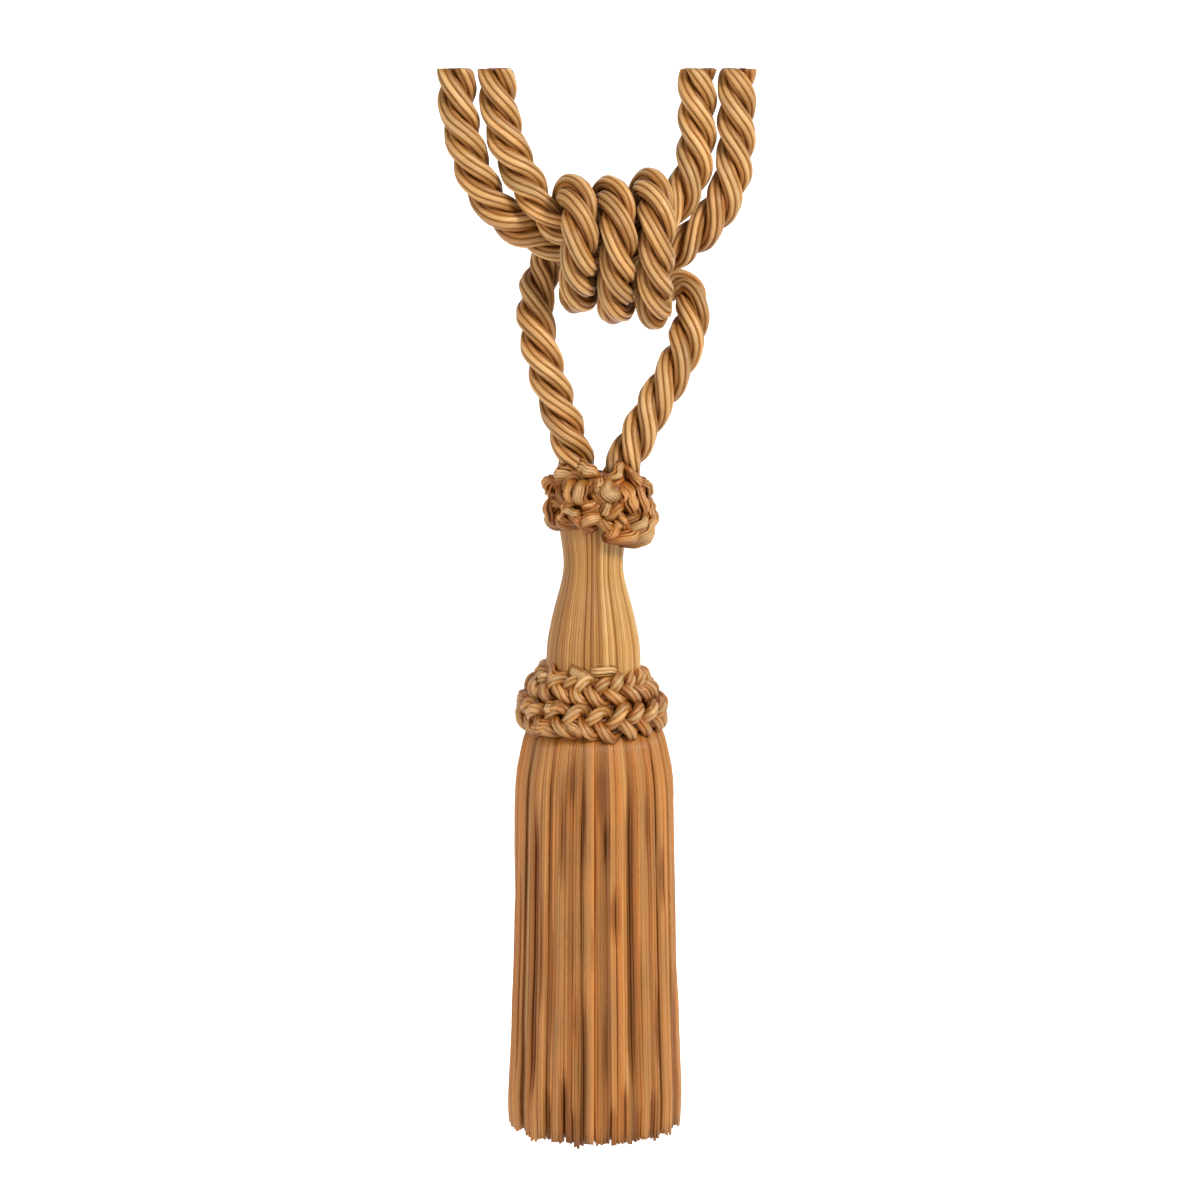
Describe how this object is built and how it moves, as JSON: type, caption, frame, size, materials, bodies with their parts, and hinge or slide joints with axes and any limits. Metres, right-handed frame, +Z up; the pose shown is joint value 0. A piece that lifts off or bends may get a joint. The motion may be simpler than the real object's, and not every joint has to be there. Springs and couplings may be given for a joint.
{
  "type": "curtain tieback tassel",
  "caption": "Curtain tieback tassel: twisted embrace ropes bound by a looped cord that carries a yarn-covered head, plaited collars and a long cut fringe.",
  "frame": {"origin": "midway between the four rope ends, in the level plane of their cut faces at the top", "axes": "+Z up along the hanging direction, -Y towards the front of the wrap, +X to the right as seen from the front"},
  "size_m": [0.101, 0.0574, 0.3466],
  "materials": {
    "rope_outer": "satin twisted yarn",
    "rope_inner": "satin twisted yarn",
    "tassel_cord": "satin twisted yarn",
    "top_ruff": "plaited satin gimp",
    "neck": "satin yarn laid side by side",
    "braid_collar": "plaited satin cord",
    "skirt": "loose satin yarn"
  },
  "bodies": {
    "root": {"rope_outer": "rope_outer", "rope_inner": "rope_inner", "tassel_cord": "tassel_cord", "top_ruff": "top_ruff", "neck": "neck", "braid_collar": "braid_collar", "skirt": "skirt"}
  },
  "joints": []
}
